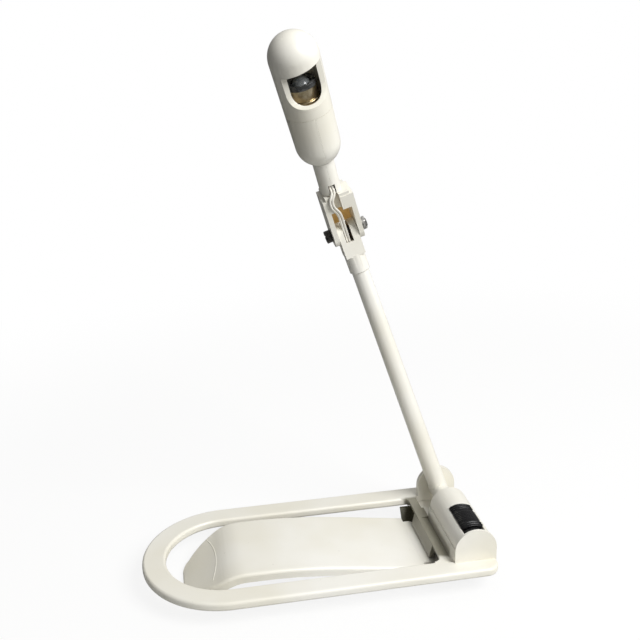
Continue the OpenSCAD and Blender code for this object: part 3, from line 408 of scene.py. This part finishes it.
def smooth(mesh, angle=35):
    """Smooth shading that keeps the true corners."""
    mesh.polygons.foreach_set("use_smooth", [True] * len(mesh.polygons))
    mesh.set_sharp_from_angle(angle=math.radians(angle))
    mesh.update()


def moulded(node, name, width, reshape=None, keep=None):
    """A copy of a CAD node's shape with the rounded corners of a moulding, save the edges to keep sharp."""
    steps = bpy.context.scene.booklight_shape.edge_steps
    shape = bmesh.new()
    shape.from_mesh(frame["nodes"][node].data)
    bmesh.ops.remove_doubles(shape, verts=shape.verts, dist=0.002 * MM)
    bmesh.ops.dissolve_limit(shape, angle_limit=math.radians(0.6), verts=shape.verts, edges=shape.edges)
    if reshape:
        reshape(shape)
    corners = [e for e in shape.edges if e.is_manifold and e.calc_face_angle(0) > math.radians(40)]
    corners = [e for e in corners if not (keep and keep(e))]
    if width > 0 and corners:
        bmesh.ops.bevel(shape, geom=corners, offset=width, offset_type="OFFSET", segments=steps,
                        profile=0.5, affect="EDGES", clamp_overlap=True, loop_slide=True)
    bmesh.ops.recalc_face_normals(shape, faces=shape.faces)
    mesh = bpy.data.meshes.new(name)
    shape.to_mesh(mesh)
    shape.free()
    smooth(mesh)
    made = bpy.data.objects.new(name, mesh)
    made.modifiers.new("Even normals", "WEIGHTED_NORMAL").keep_sharp = True
    return made


def tube(lines, radius, sides=14):
    """One mesh with a closed round tube along each line of points."""
    shape = bmesh.new()
    turns = [2 * math.pi * k / sides for k in range(sides)]
    for line in lines:
        rings = []
        side = None
        for i, point in enumerate(line):
            along = (line[min(i + 1, len(line) - 1)] - line[max(i - 1, 0)]).normalized()
            side = along.orthogonal() if side is None else side - along * side.dot(along)
            side.normalize()
            other = along.cross(side)
            spokes = [math.cos(t) * side + math.sin(t) * other for t in turns]
            rings.append([shape.verts.new(point + radius * spoke) for spoke in spokes])
        for low, high in zip(rings, rings[1:]):
            for k in range(sides):
                shape.faces.new((low[k], low[(k + 1) % sides], high[(k + 1) % sides], high[k]))
        shape.faces.new(list(reversed(rings[0])))
        shape.faces.new(rings[-1])
    return shape


def swell(rise, above, below):
    """The share of a bow at a rise from its top: it falls off steeply above the top and gently below."""
    if rise > 0:
        return math.exp(-(rise / above) ** 4)
    return math.exp(-(rise / below) ** 2)


def wire_lines(pitch):
    """Centre lines of the two wires over the knuckle, bowed out in front of the clevis."""
    # in the plane across the screw, in millimetres: the start in the fork, the straight legs with the turn
    # after each, the radius of a turn, the length of a step and the steps in a turn
    start = Vector((-2.2, -5.7))
    legs = ((2.95, TILT), (19.46, -0.8), (0, 0.8), (0.5, 0))
    bend, step, turn_steps = 4.5, 0.3, 12
    points = [start]
    at, turn = start, 0.0
    for straight, angle in legs:
        count = max(1, round(straight / step))
        for _ in range(count if straight else 0):
            at = at + Vector((-math.sin(turn), math.cos(turn))) * straight / count
            points.append(at)
        for _ in range(turn_steps if angle else 0):
            turn += angle / (2 * turn_steps)
            at = at + Vector((-math.sin(turn), math.cos(turn))) * bend * abs(angle) / turn_steps
            turn += angle / (2 * turn_steps)
            points.append(at)
    # the pair lies to one side of the middle and drifts further that way as it rises
    off_middle, slant = -0.6, math.tan(math.radians(0.5))
    lines = [[], []]
    for p in points:
        height = p.y * math.cos(TILT) - p.x * math.sin(TILT)
        # the bow to the side and to the front: its size, the height of its top, its fall above and below
        aside = -1.9 * swell(height - 15.2, 3.0, 4.0)
        ahead = -2.45 * swell(height - 15.0, 4.4, 5.5)
        for line, side in zip(lines, (-0.5, 0.5)):
            across = side * pitch / MM + off_middle - slant * (p.y - start.y) + aside
            spot = Vector((across, p.x + ahead * math.cos(TILT), p.y + ahead * math.sin(TILT)))
            line.append(ARM_FRAME @ (spot * MM))
    return lines


def button(near, far, foot):
    """The switch's button: a curved plate with rolled edges, round corners, ribbed ends and a fluted pad."""
    # millimetres: radii of the plate's two faces, half its angle, radii of its corners, edges and ribs
    skin, floor, half, corner, roll, rib_r = 7.55, 6.9, math.radians(34), 1.3, 0.4, 0.34
    # places along the plate of the ribs and the pad, the pad's slope and height, and its flutes
    ribs = (1.1, 2.3, 3.5, 13.2, 14.5)
    pad_from, pad_to, pad_slope, pad_rise, flute = 5, 12, 0.4, 0.19, 0.06
    # the stem below the plate: its two widths, its place along the plate and how far it goes into it
    stem_x, stem_y, stem_at, stem_in = 1.8, 3, 5.45, 0.2
    length = (far - near) / MM
    rows, columns = 158, 24

    def rise(at, inset):
        lift = max(math.sqrt(max(0, rib_r ** 2 - (at - rib) ** 2)) for rib in ribs)
        if pad_from < at < pad_to:
            end = min(1, (at - pad_from) / pad_slope, (pad_to - at) / pad_slope)
            lift = max(lift, end * (pad_rise + flute * math.cos(2 * math.pi * at)))
        drop = roll - math.sqrt(max(0, roll ** 2 - max(0, roll - inset) ** 2))
        return lift * min(1, inset / roll) - drop

    shape = bmesh.new()
    grids = []
    for under in (False, True):
        grid = []
        for i in range(rows + 1):
            at = length * i / rows
            end = min(at, length - at, corner)
            width = half * skin - corner + math.sqrt(corner ** 2 - (corner - end) ** 2)
            row = []
            for j in range(columns + 1):
                along = width * math.sin(math.pi * (j / columns - 0.5))
                r = floor if under else skin + rise(at, min(width - abs(along), at, length - at))
                turn = along / skin
                spot = Vector((r * math.sin(turn) * MM, 0, r * math.cos(turn) * MM))
                row.append(shape.verts.new(Vector((HINGE.x, far - at * MM, HINGE.z)) + spot))
            grid.append(row)
        grids.append(grid)
    rims = []
    for grid in grids:
        for low, high in zip(grid, grid[1:]):
            for j in range(columns):
                shape.faces.new((low[j], low[j + 1], high[j + 1], high[j]))
        rim = list(grid[0])
        rim += [row[-1] for row in grid[1:]]
        rim += reversed(grid[-1][:-1])
        rim += [row[0] for row in reversed(grid[1:-1])]
        rims.append(rim)
    upper, lower = rims
    for k in range(len(upper)):
        after = (k + 1) % len(upper)
        shape.faces.new((upper[k], upper[after], lower[after], lower[k]))
    stem = bmesh.ops.create_cube(shape, size=1)["verts"]
    top = HINGE.z + (floor + stem_in) * MM
    bmesh.ops.scale(shape, vec=(stem_x * MM, stem_y * MM, top - foot), verts=stem)
    bmesh.ops.translate(shape, vec=(HINGE.x, far - stem_at * MM, (top + foot) / 2), verts=stem)
    return shape


def close_seams(shape):
    """Brings the faces at the head's two seams almost together, so that the seams show as hairlines."""
    front_reach, front_left = 0.08 * MM, 0.01 * MM
    ring_from, ring_to, ring_left = 0.01 * MM, 0.15 * MM, 0.07 * MM
    for vertex in shape.verts:
        across = (vertex.co - HEAD).dot(HEAD_SIDE)
        if abs(across) < front_reach:
            vertex.co -= HEAD_SIDE * (across - math.copysign(front_left, across))
        along = (vertex.co - HEAD).dot(HEAD_LINE)
        if ring_from < along < ring_to:
            vertex.co -= HEAD_LINE * (along - ring_left)


def at_ring_seam(edge):
    """Whether an edge lies at the seam between the hood and the lower head."""
    return all(abs((v.co - HEAD).dot(HEAD_LINE)) < 0.2 * MM for v in edge.verts)


def lift_leaf(shape):
    """Raises the leaf's back half towards its root, where the photograph shows it fuller."""
    for x in range(-62, -10, 3):
        everything = [*shape.verts, *shape.edges, *shape.faces]
        bmesh.ops.bisect_plane(shape, geom=everything, plane_co=(x * MM, 0, 0), plane_no=(1, 0, 0))
    # places along the leaf and how far each is raised, in millimetres
    stations = ((-60, 0), (-45, 0.2), (-30, 0.8), (-20, 1.3), (-14, 1.5), (-11, 0))
    for vertex in shape.verts:
        for (a, low), (b, high) in zip(stations, stations[1:]):
            if a * MM < vertex.co.x <= b * MM:
                share = (vertex.co.x / MM - a) / (b - a)
                vertex.co.z += (low + (high - low) * share) * MM
    round_rim(shape)


def round_rim(shape):
    """Gives the leaf's upper rim its broad round, from the root to the tip, which is round already."""
    tip, root = -103.2 * MM, -16 * MM
    shape.normal_update()
    rim = []
    for edge in shape.edges:
        if edge.is_manifold and all(tip < v.co.x < root for v in edge.verts):
            low, high = sorted(face.normal.z for face in edge.link_faces)
            if high > 0.6 and abs(low) < 0.3:
                rim.append(edge)
    width = bpy.context.scene.booklight_shape.leaf_edge
    bmesh.ops.bevel(shape, geom=rim, offset=width, offset_type="OFFSET", segments=5,
                    profile=0.5, affect="EDGES", clamp_overlap=False, loop_slide=True)


def lower_apron(shape):
    """Brings the lower edge of the hinge's front wall down to the leaf."""
    front, back, edge_z = -14 * MM, -12.5 * MM, 6.3 * MM
    for vertex in shape.verts:
        if front < vertex.co.x < back and abs(vertex.co.z - edge_z) < 0.05 * MM:
            vertex.co += Vector((0.4, 0, -0.8)) * MM


def to_object(shape, name):
    """Turns a finished bmesh into an object with smooth shading."""
    bmesh.ops.recalc_face_normals(shape, faces=shape.faces)
    mesh = bpy.data.meshes.new(name)
    shape.to_mesh(mesh)
    shape.free()
    smooth(mesh)
    return bpy.data.objects.new(name, mesh)


class BOOKLIGHT_OT_base(bpy.types.Operator):
    """Loop base, barrel cover, lower housing and what they hold"""

    bl_idname = "booklight.base"
    bl_label = "Base"

    def execute(self, context):
        sizes = context.scene.booklight_shape
        # the base frame gets painted shade on its hinge deck
        ridden(moulded("base_frame", "base-frame", sizes.edge, lower_apron), "base_frame", "shaded_deck_plastic")
        ridden(moulded("housing_cover", "housing-cover", sizes.edge), "housing_cover")
        ridden(moulded("lower_housing", "lower-housing", sizes.edge), "lower_housing", "olive_dark_plastic")
        for node in ("housing_screw_near", "housing_screw_far", "axle_bush", "axle_pin", "friction_washer",
                     "leaf_pin", "power_jack", "switch_body", "switch_terminals"):
            ridden(moulded(node, node.replace("_", "-"), sizes.fine_edge), node)
        return {"FINISHED"}


class BOOKLIGHT_OT_leaf(bpy.types.Operator):
    """Arched clip leaf"""

    bl_idname = "booklight.leaf"
    bl_label = "Clip leaf"

    def execute(self, context):
        leaf = moulded("clip_leaf", "clip-leaf", context.scene.booklight_shape.edge, lift_leaf)
        self.nose_line(leaf.data)
        ridden(leaf, "clip_leaf")
        return {"FINISHED"}

    def nose_line(self, mesh):
        """Adds the faint raised line that runs in an arc across the leaf's nose."""
        # millimetres: where the arc crosses the middle, its radius, the line's radius and how deep it lies
        middle, arc_r, radius, sunk = -92.2, 40, 0.3, 0.2
        shape = bmesh.new()
        shape.from_mesh(mesh)
        skin = BVHTree.FromBMesh(shape)
        shape.free()
        line = []
        for y in range(-13, 17):
            over = Vector((middle - y * y / (2 * arc_r), y, 50)) * MM
            line.append(skin.ray_cast(over, Vector((0, 0, -1)))[0] - Vector((0, 0, sunk * MM)))
        shape = tube([line], radius * MM, 10)
        shape.from_mesh(mesh)
        bmesh.ops.recalc_face_normals(shape, faces=shape.faces)
        shape.to_mesh(mesh)
        shape.free()
        smooth(mesh)


class BOOKLIGHT_OT_switch(bpy.types.Operator):
    """Ribbed sliding button and its track"""

    bl_idname = "booklight.switch"
    bl_label = "Switch"

    def execute(self, context):
        sizes = context.scene.booklight_shape
        ridden(moulded("switch_liner", "switch-liner", sizes.fine_edge), "switch_liner")
        low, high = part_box("switch_slider")
        ridden(to_object(button(low[1], high[1], low[2]), "switch-slider"), "switch_slider")
        return {"FINISHED"}


class BOOKLIGHT_OT_arm(bpy.types.Operator):
    """Hub, arm and the two halves of the knuckle"""

    bl_idname = "booklight.arm"
    bl_label = "Arm and knuckle"

    def execute(self, context):
        sizes = context.scene.booklight_shape
        for node in ("arm_hub", "arm_tube", "lower_knuckle"):
            ridden(moulded(node, node.replace("_", "-"), sizes.edge), node)
        clevis = ridden(moulded("upper_knuckle", "upper-knuckle", sizes.edge), "upper_knuckle")
        self.thin_web(clevis.data)
        for node in ("knuckle_screw", "knuckle_nut"):
            ridden(moulded(node, node.replace("_", "-"), sizes.fine_edge), node)
        return {"FINISHED"}

    def thin_web(self, mesh):
        """Gives the web behind the clevis the painted golden glow of thin plastic with the light behind it."""
        mesh.materials.append(MATERIALS["thin_web"])
        to_neck = NECK_FRAME.inverted()
        # its faces look to the front and lie more than 3 mm behind the screw
        for face in mesh.polygons:
            spot = to_neck @ face.center / MM
            facing = to_neck.to_3x3() @ face.normal
            if facing.y < -0.9 and spot.y > 3:
                face.material_index = 1


class BOOKLIGHT_OT_head(bpy.types.Operator):
    """Lower head, hood and lamp holder"""

    bl_idname = "booklight.head"
    bl_label = "Head"

    def execute(self, context):
        sizes = context.scene.booklight_shape
        for node in ("head_shell_left", "head_shell_right"):
            ridden(moulded(node, node.replace("_", "-"), sizes.seam_edge, close_seams, at_ring_seam), node)
        ridden(moulded("hood", "hood-shell", sizes.rim_edge, close_seams, at_ring_seam), "hood")
        ridden(moulded("lamp_holder", "lamp-holder", sizes.fine_edge), "lamp_holder")
        return {"FINISHED"}


class BOOKLIGHT_OT_bulb(bpy.types.Operator):
    """Bulb and its socket"""

    bl_idname = "booklight.bulb"
    bl_label = "Bulb"

    def execute(self, context):
        sizes = context.scene.booklight_shape
        for node in ("socket_sleeve", "centre_contact", "bulb_ring", "bulb_filament"):
            ridden(moulded(node, node.replace("_", "-"), sizes.fine_edge), node)
        for node in ("bulb_base", "bulb_glass"):
            ridden(moulded(node, node.replace("_", "-"), 0), node)
        return {"FINISHED"}


class BOOKLIGHT_OT_wires(bpy.types.Operator):
    """Wires in the base, the arm and the head, and the pair that crosses the knuckle"""

    bl_idname = "booklight.wires"
    bl_label = "Wires"

    def execute(self, context):
        for node in ("jack_lead", "base_lead", "arm_lead", "head_lead"):
            ridden(moulded(node, node.replace("_", "-"), 0), node)
        sizes = context.scene.booklight_shape
        wires = to_object(tube(wire_lines(sizes.wire_pitch), sizes.wire_r, 18), "knuckle-lead")
        shown(wires, "knuckle_lead")
        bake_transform(wires)
        return {"FINISHED"}


class BOOKLIGHT_OT_stage(bpy.types.Operator):
    """Floor, lamps, world and camera"""

    bl_idname = "booklight.stage"
    bl_label = "Studio"

    def execute(self, context):
        scene = context.scene
        stage = scene.booklight_stage
        scene.view_settings.view_transform = "Standard"
        self.floor(scene, stage)
        self.world(scene, stage)
        self.lamps(scene, stage)
        self.camera(scene, stage)
        return {"FINISHED"}

    def floor(self, scene, stage):
        """A round pale table top that fades into the white backdrop and keeps a soft shadow."""
        made, tree, out = material("pale_floor")
        place = add(tree, "ShaderNodeTexCoord").outputs["Object"]
        far = add(tree, "ShaderNodeVectorMath", {0: place}, operation="LENGTH").outputs["Value"]
        fade = add(tree, "ShaderNodeMapRange", {
            "Value": far, "From Min": 0.4 * stage.floor_r, "From Max": 0.95 * stage.floor_r,
            "To Min": 0.86, "To Max": 1.0,
        }, interpolation_type="SMOOTHSTEP")
        rays = add(tree, "ShaderNodeLightPath").outputs
        seen = add(tree, "ShaderNodeMath", {
            0: rays["Is Camera Ray"], 1: rays["Is Transmission Ray"],
        }, operation="MAXIMUM").outputs[0]
        share = add(tree, "ShaderNodeMath", {0: seen, 1: fade.outputs[0]}, operation="MULTIPLY")
        # the floor throws less light back than its looks would, and less still further out
        edge = add(tree, "ShaderNodeMapRange", {
            "Value": far, "From Min": 0.2 * stage.floor_r, "From Max": 0.7 * stage.floor_r,
        })
        pale = add(tree, "ShaderNodeMix", {
            SHARE: edge.outputs[0], COLOUR_A: linear("C6C6C4"), COLOUR_B: linear("70706E"),
        }, data_type="RGBA")
        pale = add(tree, "ShaderNodeMix", {
            SHARE: seen, COLOUR_A: pale.outputs[COLOUR_OUT], COLOUR_B: linear("F6F6F4"),
        }, data_type="RGBA")
        matt = add(tree, "ShaderNodeBsdfDiffuse", {"Color": pale.outputs[COLOUR_OUT]})
        white = add(tree, "ShaderNodeEmission", {"Color": (1, 1, 1, 1), "Strength": 1.0})
        both = add(tree, "ShaderNodeMixShader", {
            0: share.outputs[0], 1: matt.outputs[0], 2: white.outputs[0],
        })
        tree.links.new(both.outputs[0], out.inputs["Surface"])
        shape = bmesh.new()
        bmesh.ops.create_circle(shape, cap_ends=True, segments=96, radius=stage.floor_r)
        bmesh.ops.translate(shape, verts=shape.verts, vec=(0, 0, -0.02 * MM))
        mesh = bpy.data.meshes.new("studio-floor")
        shape.to_mesh(mesh)
        shape.free()
        mesh.materials.append(made)
        floor = bpy.data.objects.new("studio-floor", mesh)
        scene.collection.objects.link(floor)

    def world(self, scene, stage):
        """White to the camera; the room's own light comes mostly from above and from the lamp's side."""
        world = bpy.data.worlds.new("studio")
        world.use_nodes = True
        tree = world.node_tree
        tree.nodes.clear()
        way = add(tree, "ShaderNodeTexCoord").outputs["Generated"]
        lean = add(tree, "ShaderNodeVectorMath", {0: way, 1: (0.62, -0.2, 0.76)}, operation="DOT_PRODUCT")
        side = add(tree, "ShaderNodeMapRange", {
            "Value": lean.outputs["Value"], "From Min": -0.5, "From Max": 0.9,
        }).outputs[0]
        rays = add(tree, "ShaderNodeLightPath").outputs
        glow = add(tree, "ShaderNodeMapRange", {
            "Value": side, "To Min": 0.2 * stage.fill, "To Max": 2 * stage.fill,
        })
        sheen = add(tree, "ShaderNodeMapRange", {"Value": side, "To Min": 0.1, "To Max": 0.7})
        level = add(tree, "ShaderNodeMix", {
            SHARE: rays["Is Glossy Ray"], VALUE_A: glow.outputs[0], VALUE_B: sheen.outputs[0],
        })
        seen = add(tree, "ShaderNodeMath", {
            0: rays["Is Camera Ray"], 1: rays["Is Transmission Ray"],
        }, operation="MAXIMUM")
        level = add(tree, "ShaderNodeMix", {
            SHARE: seen.outputs[0], VALUE_A: level.outputs[0], VALUE_B: 1.0,
        })
        room = add(tree, "ShaderNodeBackground", {"Color": (1, 1, 1, 1), "Strength": level.outputs[0]})
        end = add(tree, "ShaderNodeOutputWorld", {"Surface": room.outputs[0]})
        end.is_active_output = True
        scene.world = world

    def lamps(self, scene, stage):
        """One broad key lamp from the upper right of the view, and a weak one behind the object."""
        middle, distance = Vector((-0.02, 0, 0.06)), 0.75
        lamps = (("key", stage.key, stage.key_turn, stage.key_rise, 0.45),
                 ("back", stage.back, math.radians(95), math.radians(10), 0.3))
        for name, power, turn, rise, size in lamps:
            lamp = bpy.data.lights.new(name, "AREA")
            lamp.shape = "DISK"
            lamp.size = size
            lamp.energy = power
            made = bpy.data.objects.new(name, lamp)
            level = math.cos(rise)
            way = Vector((math.cos(turn) * level, math.sin(turn) * level, math.sin(rise)))
            made.location = middle + distance * way
            made.rotation_mode = "QUATERNION"
            made.rotation_quaternion = way.to_track_quat("Z", "Y")
            # only the key lamp is mirrored in the plastic
            made.visible_glossy = name == "key"
            scene.collection.objects.link(made)

    def camera(self, scene, stage):
        """The photograph's own view."""
        a, e, r = stage.azimuth, stage.elevation, stage.roll
        level = Vector((math.cos(a), math.sin(a), 0))
        back = Vector((math.sin(a) * math.cos(e), -math.cos(a) * math.cos(e), math.sin(e)))
        rise = back.cross(level)
        right = level * math.cos(r) + rise * math.sin(r)
        up = -level * math.sin(r) + rise * math.cos(r)
        lens = bpy.data.cameras.new("view")
        lens.sensor_width = 36
        lens.lens = stage.lens
        lens.clip_start = 0.01
        lens.clip_end = 20
        cam = bpy.data.objects.new("view", lens)
        cam.matrix_world = axes(Vector(stage.eye), right, up, back)
        scene.collection.objects.link(cam)
        scene.camera = cam


class BOOKLIGHT_PT_pieces(bpy.types.Panel):
    """Lists the steps in the sidebar"""

    bl_idname = "BOOKLIGHT_PT_pieces"
    bl_label = "Book light"
    bl_space_type = "VIEW_3D"
    bl_region_type = "UI"
    bl_category = "Book light"

    def draw(self, context):
        for step in STEPS:
            self.layout.operator(step.bl_idname)


STEPS = (BOOKLIGHT_OT_base, BOOKLIGHT_OT_leaf, BOOKLIGHT_OT_switch, BOOKLIGHT_OT_arm, BOOKLIGHT_OT_head,
         BOOKLIGHT_OT_bulb, BOOKLIGHT_OT_wires, BOOKLIGHT_OT_stage)
SETTINGS = {
    "booklight_finish": FinishSettings,
    "booklight_shape": ShapeSettings,
    "booklight_stage": StageSettings,
}


def register():
    for name, group in SETTINGS.items():
        bpy.utils.register_class(group)
        setattr(bpy.types.Scene, name, PointerProperty(type=group))
    for step in (*STEPS, BOOKLIGHT_PT_pieces):
        bpy.utils.register_class(step)


def unregister():
    for step in (BOOKLIGHT_PT_pieces, *reversed(STEPS)):
        bpy.utils.unregister_class(step)
    for name, group in SETTINGS.items():
        delattr(bpy.types.Scene, name)
        bpy.utils.unregister_class(group)


def main():
    register()
    for step in ("base", "leaf", "switch", "arm", "head", "bulb", "wires", "stage"):
        getattr(bpy.ops.booklight, step)()


if __name__ == "__main__":
    main()
